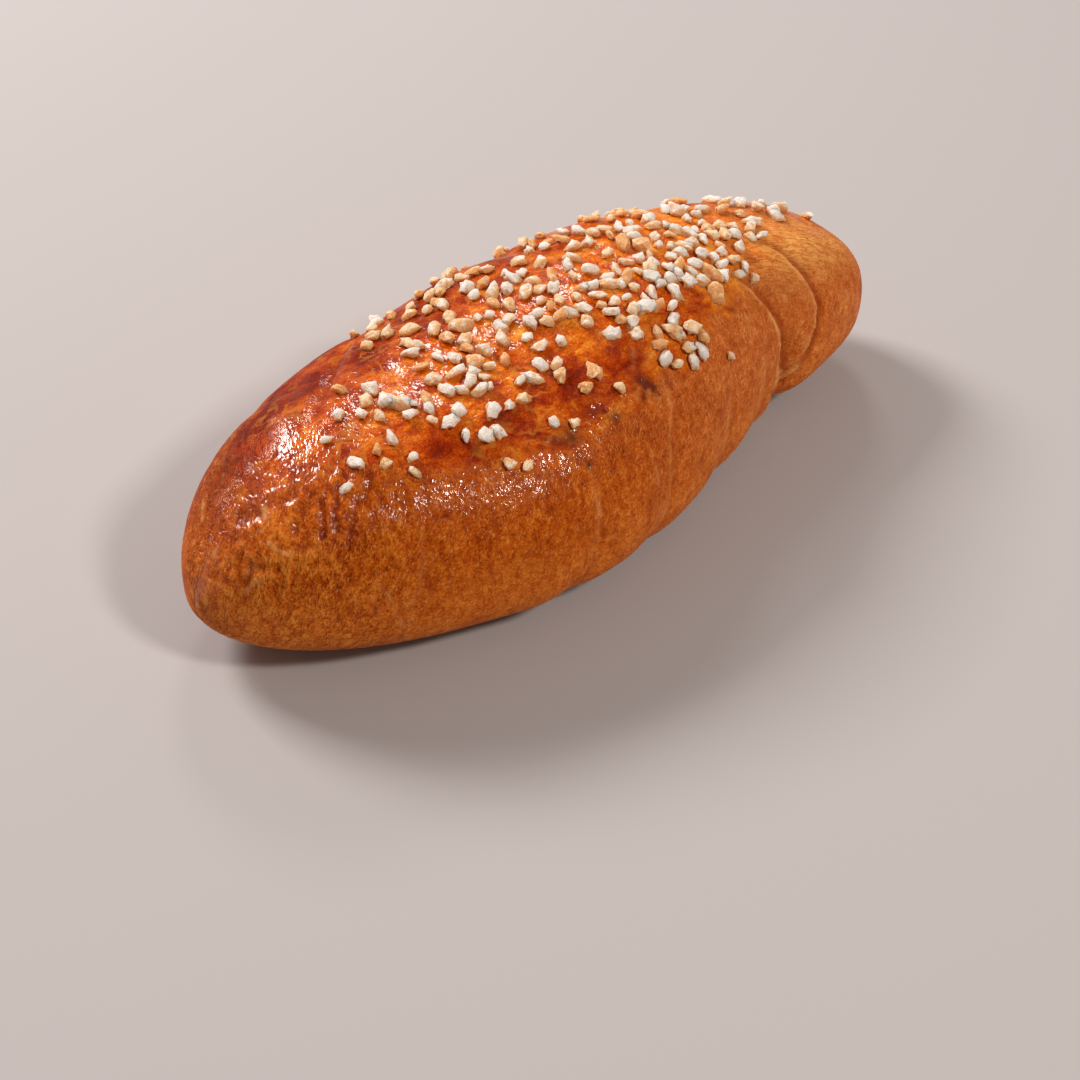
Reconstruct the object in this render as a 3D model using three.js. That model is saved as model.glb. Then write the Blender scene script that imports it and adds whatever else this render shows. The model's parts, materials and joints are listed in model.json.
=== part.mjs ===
// A braided sweet loaf with pearl sugar baked onto its crust, in millimetres, +Z up.
//
// The loaf lies on its flat, tray-baked bottom at z = 0. +X runs along it to the slimmer end, and the
// origin is under the middle of its bounding box. The dough was plaited, proofed and baked as one piece,
// so it is one solid: the strands have grown together, and only the shallow seams between them show.
// Each nib of pearl sugar is a solid of its own, sitting just clear of the crust.
import * as THREE from "three";
import { mergeVertices } from "three/addons/utils/BufferGeometryUtils.js";

// Driving dimensions of the loaf
const LENGTH = 232;
const WIDTH = 94;
const HEIGHT = 64;

// Nine stations evenly spaced from the broad end (-X) to the slim end (+X)
const WIDTH_FULLNESS = [1.03, 1.01, 1.06, 1.08, 1.03, 0.95, 0.9, 0.9, 0.99];
const HEIGHT_FULLNESS = [0.97, 1.07, 1, 0.98, 1, 1, 0.97, 0.99, 1];
const SIDE_SHIFT = [-0.5, -1.5, -2, -3, -1.5, 2, 5.5, 2.5, -2];

// The cross-section: a rounded crown over a shoulder, standing on a flat bottom
const SHOULDER_SHARE = 0.42;
const CROWN_BLUNTNESS = 2.25;
const BASE_BLUNTNESS = 2.8;
const BASE_OVERSIZE = 1.12;
const CROWN_TAPER = 0.78;
const TIP_RISE = 20;
const TIP_RISE_TAPER = 0.8;

// Seams between the strands. place is along the half-length, angle is round the girth in degrees, from
// the far side (0) over the crown (90) to the near side (180). lean and curl bend the seam along the loaf.
const SEAMS = [
  { place: 0.7, angle: 155, lean: -0.03, curl: -0.14, reach: 48, depth: 1.1, breadth: 3.5 },
  { place: 0.565, angle: 165, lean: 0.06, curl: -0.04, reach: 46, depth: 2.4, breadth: 6.5 },
  { place: 0.585, angle: 205, lean: 0, curl: 0, reach: 42, depth: 3.4, breadth: 5.5 },
  { place: 0.46, angle: 195, lean: -0.04, curl: 0, reach: 36, depth: 1, breadth: 5 },
  { place: 0.28, angle: 196, lean: -0.06, curl: 0, reach: 42, depth: 1.5, breadth: 6 },
  { place: 0.03, angle: 180, lean: -0.09, curl: 0, reach: 48, depth: 1.4, breadth: 6 },
  { place: -0.25, angle: 200, lean: -0.08, curl: 0, reach: 42, depth: 1.2, breadth: 6 },
  { place: -0.64, angle: 178, lean: -0.06, curl: 0.03, reach: 34, depth: 0.6, breadth: 4 },
  { place: -0.48, angle: 62, lean: -0.42, curl: 0, reach: 24, depth: 1, breadth: 3.5 },
  { place: 0.72, angle: 20, lean: 0.05, curl: -0.1, reach: 50, depth: 1.4, breadth: 5 },
  { place: 0.42, angle: 18, lean: 0.1, curl: 0, reach: 50, depth: 2.2, breadth: 8 },
  { place: 0.04, angle: 15, lean: 0.12, curl: 0, reach: 50, depth: 1.7, breadth: 6 },
  { place: -0.34, angle: 12, lean: 0.12, curl: 0, reach: 46, depth: 1.5, breadth: 6 },
  { place: -0.7, angle: 15, lean: 0.06, curl: 0.1, reach: 46, depth: 1.1, breadth: 5 },
];

// Mesh steps along the loaf and round its girth
const STATIONS = 72;
const GIRTH_STEPS = 40;

// Pearl sugar
const NIB_SEED = 1207;
const NIB_LENGTH_MIN = 3.8;
const NIB_LENGTH_MAX = 5.4;
const NIB_WIDTH_SHARE = 0.8;
const NIB_HEIGHT_SHARE = 0.76;
const NIB_ROUGHNESS = 0.2;
const NIB_FLAT = 0.5;
const NIB_GAP = 0.35;

// Where each nib stuck, with place and angle as for the seams, and whether it toasted
const NIBS = [
  { place: -0.7, angle: 118 },
  { place: -0.65, angle: 110 },
  { place: -0.66, angle: 94 },
  { place: -0.6, angle: 116, toasted: true },
  { place: -0.54, angle: 117 },
  { place: -0.55, angle: 106 },
  { place: -0.54, angle: 79, toasted: true },
  { place: -0.49, angle: 86 },
  { place: -0.53, angle: 96 },
  { place: -0.45, angle: 98 },
  { place: -0.45, angle: 107, toasted: true },
  { place: -0.39, angle: 108 },
  { place: -0.41, angle: 117 },
  { place: -0.33, angle: 136, toasted: true },
  { place: -0.37, angle: 93 },
  { place: -0.31, angle: 87 },
  { place: -0.33, angle: 75, toasted: true },
  { place: -0.25, angle: 76 },
  { place: -0.35, angle: 60, toasted: true },
  { place: -0.28, angle: 104 },
  { place: -0.22, angle: 92 },
  { place: -0.24, angle: 113, toasted: true },
  { place: -0.22, angle: 126 },
  { place: -0.21, angle: 54, toasted: true },
  { place: -0.12, angle: 109 },
  { place: -0.12, angle: 96 },
  { place: -0.06, angle: 96 },
  { place: -0.08, angle: 77 },
  { place: -0.17, angle: 62, toasted: true },
  { place: -0.07, angle: 59, toasted: true },
  { place: -0.01, angle: 76 },
  { place: 0.06, angle: 84, toasted: true },
  { place: 0.01, angle: 92, toasted: true },
  { place: 0.11, angle: 103 },
  { place: 0.16, angle: 94 },
  { place: 0.045, angle: 112 },
  { place: 0.11, angle: 113 },
  { place: -0.06, angle: 118, toasted: true },
  { place: -0.03, angle: 129, toasted: true },
  { place: 0.13, angle: 131 },
  { place: 0.19, angle: 124, toasted: true },
  { place: 0.21, angle: 134 },
  { place: 0.325, angle: 149 },
  { place: 0.19, angle: 75 },
  { place: 0.18, angle: 62, toasted: true },
  { place: 0.19, angle: 108 },
  { place: 0.27, angle: 100, toasted: true },
  { place: 0.29, angle: 79, toasted: true },
  { place: 0.33, angle: 113 },
  { place: 0.36, angle: 92 },
  { place: 0.4, angle: 107 },
  { place: 0.42, angle: 82, toasted: true },
  { place: 0.47, angle: 93 },
  { place: 0.47, angle: 113 },
  { place: 0.535, angle: 126 },
  { place: 0.53, angle: 84 },
  { place: 0.56, angle: 98, toasted: true },
  { place: 0.65, angle: 105 },
  { place: 0.77, angle: 87 },
];

const crust = new THREE.MeshStandardMaterial({ color: 0xb5561c, roughness: 0.35, metalness: 0 });
const whiteSugar = new THREE.MeshStandardMaterial({ color: 0xf2e7d8, roughness: 0.6, metalness: 0 });
const toastedSugar = new THREE.MeshStandardMaterial({ color: 0xd8a468, roughness: 0.6, metalness: 0 });

// Smooth curve through evenly spaced values, for s from -1 to 1
function smoothAlong(values, s) {
  const last = values.length - 1;
  const at = ((s + 1) / 2) * last;
  const k = Math.min(Math.floor(at), last - 1);
  const f = at - k;
  const before = values[Math.max(k - 1, 0)];
  const after = values[Math.min(k + 2, last)];
  const startSlope = (values[k + 1] - before) / 2;
  const endSlope = (after - values[k]) / 2;
  const rise = values[k + 1] - values[k];
  return values[k] + f * startSlope + f * f * (3 * rise - 2 * startSlope - endSlope)
    + f * f * f * (startSlope + endSlope - 2 * rise);
}

// How far the seams draw the crust in, in millimetres, at one place on the loaf
function seamDepth(s, angle) {
  let depth = 0;
  for (const seam of SEAMS) {
    let turn = THREE.MathUtils.radToDeg(angle) - seam.angle;
    turn -= 360 * Math.round(turn / 360);
    const bend = THREE.MathUtils.degToRad(turn);
    const middle = seam.place + seam.lean * bend + seam.curl * bend * bend;
    const across = ((s - middle) * LENGTH) / 2 / seam.breadth;
    depth += seam.depth * Math.exp(-across * across) * Math.exp(-((turn / seam.reach) ** 4));
  }
  return depth;
}

// A point on the crust, for s along the half-length and an angle round the girth in radians
function crustPoint(s, angle) {
  const taper = Math.sqrt(Math.max(1 - s * s, 0));
  const halfWidth = (WIDTH / 2) * taper * smoothAlong(WIDTH_FULLNESS, s);
  const crown = HEIGHT * taper ** CROWN_TAPER * smoothAlong(HEIGHT_FULLNESS, s);
  const shoulder = SHOULDER_SHARE * crown;
  const rise = TIP_RISE * (1 - taper ** TIP_RISE_TAPER);
  const power = 2 / (Math.sin(angle) >= 0 ? CROWN_BLUNTNESS : BASE_BLUNTNESS);
  const out = Math.sign(Math.cos(angle)) * Math.abs(Math.cos(angle)) ** power;
  const up = Math.abs(Math.sin(angle)) ** power;
  const y = halfWidth * out;
  const z = Math.sin(angle) >= 0 ? (crown - shoulder) * up : -BASE_OVERSIZE * shoulder * up;
  const reach = Math.hypot(y, z);
  const shrink = reach > 0 ? 1 - Math.min(seamDepth(s, angle) * taper / reach, 1) : 1;
  return new THREE.Vector3(
    (s * LENGTH) / 2,
    smoothAlong(SIDE_SHIFT, s) + y * shrink,
    Math.max(rise + shoulder + z * shrink, 0),
  );
}

// The crust's outward direction at one place
function crustNormal(s, angle) {
  const step = 0.01;
  const along = crustPoint(s + step, angle).sub(crustPoint(s - step, angle));
  const round = crustPoint(s, angle + step).sub(crustPoint(s, angle - step));
  return round.cross(along).normalize();
}

// One closed skin: rings of points round the girth, drawn to a point at each tip
function makeLoafGeometry() {
  const points = [crustPoint(-1, 0)];
  for (let i = 1; i < STATIONS; i += 1) {
    const s = Math.sin(Math.PI * (i / STATIONS - 0.5));
    for (let j = 0; j < GIRTH_STEPS; j += 1) {
      points.push(crustPoint(s, (2 * Math.PI * j) / GIRTH_STEPS));
    }
  }
  points.push(crustPoint(1, 0));
  const lastTip = points.length - 1;
  const at = (i, j) => 1 + (i - 1) * GIRTH_STEPS + (j % GIRTH_STEPS);
  const faces = [];
  for (let j = 0; j < GIRTH_STEPS; j += 1) {
    faces.push(0, at(1, j + 1), at(1, j));
    faces.push(lastTip, at(STATIONS - 1, j), at(STATIONS - 1, j + 1));
    for (let i = 1; i < STATIONS - 1; i += 1) {
      faces.push(at(i, j), at(i, j + 1), at(i + 1, j + 1));
      faces.push(at(i, j), at(i + 1, j + 1), at(i + 1, j));
    }
  }
  const geometry = new THREE.BufferGeometry().setFromPoints(points);
  geometry.setIndex(faces);
  geometry.computeVertexNormals();
  return geometry;
}

// Repeatable random numbers from 0 to 1
function makeRandom(seed) {
  let state = seed;
  return () => {
    state = (Math.imul(state, 1664525) + 1013904223) >>> 0;
    return state / 2 ** 32;
  };
}

// One crushed-sugar nib: a chunky, uneven crystal lump with a flat underside at z = 0
function makeNibGeometry(length, random) {
  const ball = new THREE.IcosahedronGeometry(1, 0);
  ball.deleteAttribute("normal");
  ball.deleteAttribute("uv");
  const geometry = mergeVertices(ball);
  const corners = geometry.getAttribute("position");
  for (let i = 0; i < corners.count; i += 1) {
    const swell = 1 + NIB_ROUGHNESS * (random() - 0.5);
    const x = corners.getX(i) * swell;
    const y = corners.getY(i) * swell * NIB_WIDTH_SHARE;
    const z = Math.max(corners.getZ(i) * swell, -NIB_FLAT) * NIB_HEIGHT_SHARE;
    corners.setXYZ(i, x, y, z);
  }
  geometry.translate(0, 0, NIB_FLAT * NIB_HEIGHT_SHARE);
  geometry.scale(length / 2, length / 2, length / 2);
  geometry.computeVertexNormals();
  return geometry;
}

const loaf = new THREE.Mesh(makeLoafGeometry(), crust);
loaf.name = "loaf";

// Centre the loaf over the origin
const box = new THREE.Box3().setFromObject(loaf);
const middle = box.getCenter(new THREE.Vector3());
const bread = new THREE.Group();
bread.position.set(-middle.x, -middle.y, 0);
bread.add(loaf);

const random = makeRandom(NIB_SEED);
const upward = new THREE.Vector3(0, 0, 1);
NIBS.forEach(({ place, angle, toasted }, index) => {
  const turn = THREE.MathUtils.degToRad(angle);
  const length = THREE.MathUtils.lerp(NIB_LENGTH_MIN, NIB_LENGTH_MAX, random());
  const nib = new THREE.Mesh(makeNibGeometry(length, random), toasted ? toastedSugar : whiteSugar);
  const normal = crustNormal(place, turn);
  nib.name = `sugar_nib_${String(index + 1).padStart(2, "0")}`;
  nib.position.copy(crustPoint(place, turn)).addScaledVector(normal, NIB_GAP);
  nib.quaternion.setFromUnitVectors(upward, normal);
  nib.rotateZ(2 * Math.PI * random());
  bread.add(nib);
});

const group = new THREE.Group();
group.add(bread);

export default group;
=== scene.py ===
import json
import math

import bpy
import numpy as np
from mathutils import Matrix, Vector, noise
from mathutils.bvhtree import BVHTree


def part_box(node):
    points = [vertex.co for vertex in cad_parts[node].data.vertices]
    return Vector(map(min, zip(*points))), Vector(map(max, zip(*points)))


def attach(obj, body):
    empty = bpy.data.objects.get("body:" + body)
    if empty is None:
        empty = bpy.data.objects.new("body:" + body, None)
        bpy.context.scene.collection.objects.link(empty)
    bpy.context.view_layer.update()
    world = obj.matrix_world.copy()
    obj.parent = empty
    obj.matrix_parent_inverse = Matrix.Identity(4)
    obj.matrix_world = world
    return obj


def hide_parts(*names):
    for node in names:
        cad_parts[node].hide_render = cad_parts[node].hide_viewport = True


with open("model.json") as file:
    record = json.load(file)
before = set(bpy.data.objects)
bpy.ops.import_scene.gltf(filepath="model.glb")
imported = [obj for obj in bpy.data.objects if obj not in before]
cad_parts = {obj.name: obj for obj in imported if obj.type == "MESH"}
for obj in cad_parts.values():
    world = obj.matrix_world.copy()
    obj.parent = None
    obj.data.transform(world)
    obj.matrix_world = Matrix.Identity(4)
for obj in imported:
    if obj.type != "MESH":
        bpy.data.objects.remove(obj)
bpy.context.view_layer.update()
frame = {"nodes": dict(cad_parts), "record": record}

# ------------------------------------------------------------------------------------------------
# The loaf
# One piece of enriched dough: three ropes plaited loosely, proofed until they grew together, brushed
# with egg wash over the top and baked on a flat tray. Only shallow seams are left between the ropes.
# ------------------------------------------------------------------------------------------------

MM = 0.001

# The smooth outside, in millimetres, before it is fitted to the frame's box
LOAF_LENGTH = 232
LOAF_WIDTH = 94
LOAF_HEIGHT = 64
# Nine stations evenly spaced from the broad end (-X) to the slim end (+X)
WIDTH_FULLNESS = [1.03, 1.01, 1.06, 1.08, 1.03, 0.95, 0.9, 0.9, 0.99]
HEIGHT_FULLNESS = [0.97, 1.07, 1, 0.98, 1, 1, 0.97, 0.99, 1]
SIDE_SHIFT = [-0.5, -1.5, -2, -3, -1.5, 2, 5.5, 2.5, -2]
SHOULDER_SHARE = 0.42
CROWN_BLUNTNESS = 2.25
BASE_BLUNTNESS = 2.8
BASE_OVERSIZE = 1.12
CROWN_TAPER = 0.78
TIP_RISE = 20
TIP_RISE_TAPER = 0.8

# Seams between the ropes: place along the half-length, angle round the girth in degrees from the far
# side (0) over the crown (90) to the near side (180), lean and curl along the loaf, reach in degrees,
# depth and breadth in millimetres, and the strength of the pale line, the step and the painted shade in the
# fold along it
SEAMS = [
    (0.7, 155, -0.03, -0.14, 48, 1.1, 3.5, 1.0),
    (0.565, 165, 0.06, -0.04, 46, 2.4, 6.5, 0.9),
    (0.585, 205, 0, 0, 42, 3.4, 5.5, 0),
    (0.46, 195, -0.04, 0, 36, 1.0, 5, 0.3),
    (0.28, 196, -0.06, 0, 42, 1.5, 6, 0.25),
    (0.03, 180, -0.09, 0, 48, 1.4, 6, 0.35),
    (-0.25, 200, -0.08, 0, 42, 1.2, 6, 0.2),
    (-0.64, 178, -0.06, 0.03, 34, 0.6, 4, 0.15),
    (-0.48, 62, -0.42, 0, 24, 1.0, 3.5, 0),
    (0.72, 20, 0.05, -0.1, 50, 1.4, 5, 0.5),
    (0.42, 18, 0.1, 0, 50, 2.2, 8, 0.32),
    (0.04, 15, 0.12, 0, 50, 1.7, 6, 0.22),
    (-0.34, 12, 0.12, 0, 46, 1.5, 6, 0.18),
    (-0.7, 15, 0.06, 0.1, 46, 1.1, 5, 0.18),
]
# The raised pale line along a seam and how far it wanders, the step down from rope to rope, how far the
# lower rope takes to rise again, and the place and width of the painted shade in the fold beside the line, in
# mm
PALE_LINE_WIDTH = 0.8
PALE_LINE_HEIGHT = 0.2
SEAM_WANDER = 1.2
FINE_SEAM_WANDER = 0.5
ROPE_STEP = 1.5
ROPE_STEP_REACH = 5
SEAM_SHADE_PLACE = 2.0
SEAM_SHADE_WIDTH = 1.5

# Mesh steps along the loaf and round its girth, fewer of them on the sole, and the finer steps that the
# outside is measured with to space them evenly
LOAF_RINGS = 400
LOAF_COLUMNS = 240
UNDERSIDE_STEP_SHARE = 0.45
MEASURING_STEPS_ALONG = 2000
MEASURING_STEPS_ROUND = 1440


def along(values, s):
    """Smooth curve through evenly spaced values, for s from -1 to 1."""
    values = np.array(values, float)
    last = len(values) - 1
    at = (np.asarray(s, float) + 1) / 2 * last
    k = np.minimum(np.floor(at).astype(int), last - 1)
    f = at - k
    here, there = values[k], values[k + 1]
    start_slope = (there - values[np.maximum(k - 1, 0)]) / 2
    end_slope = (values[np.minimum(k + 2, last)] - here) / 2
    rise = there - here
    square = f * f * (3 * rise - 2 * start_slope - end_slope)
    return here + f * start_slope + square + f**3 * (start_slope + end_slope - 2 * rise)


def seam_offset(seam, s, degrees):
    """Distance along the loaf from a seam's middle line, in mm, and how strongly the seam shows there."""
    place, angle, lean, curl, reach = seam[:5]
    turn = degrees - angle
    turn = turn - 360 * np.round(turn / 360)
    bend = np.radians(turn)
    middle = place + lean * bend + curl * bend**2
    return (s - middle) * LOAF_LENGTH / 2, np.exp(-((turn / reach) ** 4))


def crust(s, degrees):
    """Points on the smooth crust, in millimetres."""
    s, degrees = np.broadcast_arrays(np.asarray(s, float), np.asarray(degrees, float))
    taper = np.sqrt(np.maximum(1 - s**2, 0))
    sine, cosine = np.sin(np.radians(degrees)), np.cos(np.radians(degrees))
    half_width = LOAF_WIDTH / 2 * taper * along(WIDTH_FULLNESS, s)
    crown = LOAF_HEIGHT * taper**CROWN_TAPER * along(HEIGHT_FULLNESS, s)
    shoulder = SHOULDER_SHARE * crown
    rise = TIP_RISE * (1 - taper**TIP_RISE_TAPER)
    power = 2 / np.where(sine >= 0, CROWN_BLUNTNESS, BASE_BLUNTNESS)
    y = half_width * np.sign(cosine) * np.abs(cosine) ** power
    up = np.abs(sine) ** power
    z = np.where(sine >= 0, (crown - shoulder) * up, -BASE_OVERSIZE * shoulder * up)
    drawn_in = np.zeros_like(s)
    for seam in SEAMS:
        across, strength = seam_offset(seam, s, degrees)
        depth, breadth = seam[5:7]
        drawn_in = drawn_in + depth * np.exp(-((across / breadth) ** 2)) * strength
    reach = np.maximum(np.hypot(y, z), 1e-6)
    shrink = 1 - np.minimum(drawn_in * taper / reach, 1)
    x = s * LOAF_LENGTH / 2
    height = np.maximum(rise + shoulder + z * shrink, 0)
    return np.stack([x, along(SIDE_SHIFT, s) + y * shrink, height], axis=-1)


def even_steps(parameter, points, count, weights=1.0):
    """count + 1 parameter values that cut a line of points into equal lengths."""
    steps = np.linalg.norm(np.diff(points, axis=0), axis=1) * weights
    travelled = np.concatenate([[0], np.cumsum(steps)])
    return np.interp(np.linspace(0, travelled[-1], count + 1), travelled, parameter)


fine_s = np.sin(np.linspace(-math.pi / 2, math.pi / 2, MEASURING_STEPS_ALONG + 1))
ring_s = even_steps(fine_s, crust(fine_s, 90), LOAF_RINGS)[1:-1]
fine_degrees = np.linspace(0, 360, MEASURING_STEPS_ROUND + 1)
middle_section = crust(0, fine_degrees)
on_sole = middle_section[1:, 2] <= 0
girth_weights = np.where(on_sole, UNDERSIDE_STEP_SHARE, 1.0)
column_degrees = even_steps(fine_degrees, middle_section, LOAF_COLUMNS, girth_weights)[:-1]

grid_s, grid_degrees = np.meshgrid(ring_s, column_degrees, indexing="ij")
grid = crust(grid_s, grid_degrees)
along_step = np.gradient(grid, axis=0)
ahead, behind = np.roll(grid, -1, axis=1), np.roll(grid, 1, axis=1)
outward = np.cross(ahead - behind, along_step)
outward /= np.linalg.norm(outward, axis=-1, keepdims=True)

# Every crust point as one list, with the two tips last
tips = np.stack([crust(-1, 0), crust(1, 0)])
smooth = np.concatenate([grid.reshape(-1, 3), tips])
normals = np.concatenate([outward.reshape(-1, 3), [[-1, 0, 0], [1, 0, 0]]])
point_s = np.concatenate([grid_s.ravel(), [-1, 1]])
point_degrees = np.concatenate([grid_degrees.ravel(), [90, 90]])


def rough(points, size, offset=0.0, octaves=1):
    """Smooth random heights from about -1 to 1 at each point, with lumps of this size in mm."""
    places = (points / np.asarray(size, float) + offset).tolist()
    if octaves == 1:
        return np.array([noise.noise(p) for p in places])
    return np.array([noise.fractal(p, 1.0, 2.0, octaves) for p in places])


def fade(value, low, high):
    """Smooth step from 0 at low to 1 at high."""
    t = np.clip((value - low) / (high - low), 0, 1)
    return t * t * (3 - 2 * t)


def line_distance(path):
    """Distance in mm from each crust point to a line laid through (place, degrees) pairs."""
    corners = np.array(path, float)
    nearest = np.full(len(smooth), 1e9)
    for (s0, d0), (s1, d1) in zip(corners[:-1], corners[1:]):
        start, end = crust(s0, d0), crust(s1, d1)
        way = end - start
        share = np.clip((smooth - start) @ way / (way @ way), 0, 1)
        gap = np.linalg.norm(smooth - start - share[:, None] * way, axis=1)
        nearest = np.minimum(nearest, gap)
    return nearest


# How the egg wash was brushed on: the edge of the amber colour and of the gloss, in degrees round the
# girth at the nine stations, on the near and the far side
AMBER_NEAR = [90, 104, 127, 136, 138, 134, 128, 110, 96]
AMBER_FAR = [66, 48, 36, 32, 30, 32, 36, 48, 66]
GLOSS_NEAR = [128, 138, 152, 150, 140, 136, 130, 118, 100]
GLOSS_FAR = [84, 74, 60, 48, 42, 42, 44, 52, 68]
AMBER_ALONG = [0.15, 0.75, 1, 1, 1, 1, 0.8, 0.3, 0.1]
GLOSS_ALONG = [0.6, 0.95, 1, 1, 1, 0.85, 0.6, 0.4, 0.3]
EDGE_SOFTNESS = 9
EDGE_WANDER = 9
# The coat is thickest on the crown: the share of it lost down the near side and kept down the far side
COAT_LOST_NEAR = 0.6
COAT_KEPT_FAR = 0.3

wander = EDGE_WANDER * rough(smooth, 14, 3.1, 3)
fine_wander = EDGE_WANDER * 0.6 * rough(smooth, 4, 8.7, 2)


def brushed(near, far, strength, softness):
    """Where a brushed coat lies, from 0 to 1."""
    turn = point_degrees + wander + fine_wander
    inside_near = 1 - fade(turn, along(near, point_s) - softness, along(near, point_s) + softness)
    inside_far = fade(turn, along(far, point_s) - softness, along(far, point_s) + softness)
    return inside_near * inside_far * along(strength, point_s)


amber = brushed(AMBER_NEAR, AMBER_FAR, AMBER_ALONG, EDGE_SOFTNESS)
gloss = brushed(GLOSS_NEAR, GLOSS_FAR, GLOSS_ALONG, EDGE_SOFTNESS)
coat = gloss * (1 - COAT_LOST_NEAR * fade(point_degrees, 98, 122))
coat *= COAT_KEPT_FAR + (1 - COAT_KEPT_FAR) * fade(point_degrees, 62, 84)

# Creases and ridges where skin folded as the dough rose: a path of (place, degrees), half width and
# depth in mm (below zero for a raised ridge), how dark the painted shade in the fold is and how pale its lip
# or crest baked
CREASES = [
    ([(-0.62, 81), (-0.55, 72), (-0.5, 66), (-0.45, 60), (-0.39, 52)], 0.6, 0.5, 1, 0),
    ([(0.095, 121), (0.06, 126), (0.03, 130), (0.02, 135)], 1.1, 0.5, 0.3, 0.25),
    ([(0.0, 133), (0.03, 138), (0.07, 140)], 0.8, 0.4, 0.6, 0.4),
    ([(0.38, 129), (0.41, 133), (0.44, 137)], 0.9, 0.3, 0.5, 0.25),
    ([(-0.79, 38), (-0.81, 52), (-0.86, 66)], 0.7, 0.35, 0.7, 0.2),
    ([(-0.72, 38), (-0.75, 52), (-0.79, 64)], 0.7, 0.3, 0.5, 0.2),
    ([(-0.73, 174), (-0.715, 184)], 0.5, -0.1, 0, 0.4),
    ([(-0.71, 169), (-0.695, 178), (-0.67, 192)], 0.6, -0.12, 0, 0.55),
    ([(-0.025, 158), (-0.02, 172), (0.0, 186)], 0.6, -0.12, 0, 0.4),
    ([(-0.2, 150), (-0.205, 160), (-0.2, 168)], 0.7, -0.1, 0, 0.3),
    ([(0.15, 62), (0.05, 52), (-0.02, 40)], 1.0, 0.5, 0.3, 0.2),
    ([(0.5, 66), (0.42, 54), (0.38, 38)], 1.0, 0.5, 0.3, 0.2),
    ([(0.56, 180), (0.572, 186), (0.58, 196)], 1.4, 0.5, 0.3, 0.2),
    ([(0.7, 177), (0.66, 183), (0.62, 190)], 1.2, 0.4, 0.25, 0.2),
    ([(0.82, 150), (0.835, 158), (0.84, 164)], 0.6, -0.1, 0, 0.5),
    ([(0.445, 140), (0.425, 152)], 0.5, -0.1, 0, 0.4),
    # Puckered skin at the broad end
    ([(-0.84, 101), (-0.85, 107), (-0.87, 111)], 0.8, -0.3, 0, 0.7),
    ([(-0.87, 120), (-0.865, 127), (-0.85, 134)], 0.7, -0.3, 0, 0.6),
    ([(-0.915, 129), (-0.93, 131)], 0.7, -0.25, 0, 0.5),
    ([(-0.91, 139), (-0.93, 142), (-0.945, 146)], 0.7, -0.25, 0, 0.5),
    ([(-0.94, 94), (-0.95, 97)], 0.8, -0.25, 0, 0.5),
    ([(-0.885, 56), (-0.92, 66)], 0.8, -0.25, 0, 0.6),
    ([(-0.92, 113), (-0.935, 122)], 1.2, 0.45, 0.5, 0.1),
    ([(-0.875, 93), (-0.9, 99)], 1.0, 0.35, 0.5, 0.1),
    ([(-0.9, 132), (-0.94, 138)], 1.2, 0.45, 0.5, 0.1),
    ([(-0.895, 150), (-0.91, 156)], 1.3, 0.35, 0.4, 0),
    ([(-0.965, 105), (-0.97, 122)], 1.2, 0.3, 0.4, 0),
]
# How far a crease wanders in mm, then its lip: place and breadth in crease half widths, and height as a
# share of the crease's depth
CREASE_WANDER = 0.5
LIP_PLACE = 1.9
LIP_BREADTH = 0.7
LIP_HEIGHT = 0.6

# Dark places: place, degrees, half width in mm, strength. The first are pools of egg wash that browned
# deeply, the second small spots that nearly burnt.
POOLS = [
    (-0.6, 124, 5, 0.5), (-0.47, 118, 5, 0.9), (-0.41, 125, 4, 0.6), (-0.28, 120, 6, 0.8),
    (-0.3, 113, 4, 0.5), (-0.15, 122, 7, 0.8), (-0.1, 115, 5, 0.5), (0.03, 122, 7, 0.7),
    (-0.2, 132, 4, 0.8), (0.31, 124, 5, 0.8), (0.62, 137, 6, 0.6), (0.55, 118, 5, 0.3),
    (-0.6, 62, 10, 0.7), (-0.42, 70, 8, 0.6), (-0.2, 62, 8, 0.5), (0.22, 72, 6, 0.5),
    (0.08, 60, 9, 0.4), (0.3, 58, 10, 0.4), (0.43, 128, 4, 0.4), (-0.62, 97, 5, 0.5),
    (-0.78, 58, 12, 0.7), (-0.9, 66, 8, 0.6), (-0.87, 40, 12, 0.4),
]
SCORCHES = [
    (0.045, 134, 2.2, 0.8), (0.06, 138, 1.5, 0.8), (0.02, 137, 1.6, 0.5), (-0.08, 136, 1.8, 0.7),
    (-0.2, 133.5, 2.0, 0.8), (-0.12, 131, 2.0, 0.4), (-0.195, 146, 0.6, 1.6), (-0.79, 164.5, 0.45, 1.6),
    (0.01, 166.5, 0.6, 0.7), (0.13, 156, 0.5, 0.5), (0.41, 133, 1.2, 0.35), (-0.88, 96, 2.5, 0.3),
    (-0.62, 44, 0.6, 1.2), (0.2, 12, 0.7, 1.2), (-0.35, 178, 0.6, 0.4),
]
RAGGEDNESS = 0.5

ragged = rough(smooth, 3.5, 25.1, 3)


def spots(places):
    """Ragged marks at (place, degrees, half width, strength)."""
    total = np.zeros(len(smooth))
    for s, degrees, half_width, strength in places:
        gap = np.linalg.norm(smooth - crust(s, degrees), axis=1) * (1 + RAGGEDNESS * ragged)
        total += strength * np.exp(-((gap / half_width) ** 2))
    return total


# The far shoulder of the broad end browned deeply too
FAR_BROWN = 0.45
far_brown = fade(point_degrees, 8, 45) * (1 - fade(point_degrees, 60, 82)) * (1 - fade(point_s, -0.1, 0.4))
pool = np.clip(spots(POOLS) + FAR_BROWN * far_brown, 0, 1)
scorch = np.clip(spots(SCORCHES), 0, 1)
pale = np.zeros(len(smooth))
fold = np.zeros(len(smooth))
relief = np.zeros(len(smooth))

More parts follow.
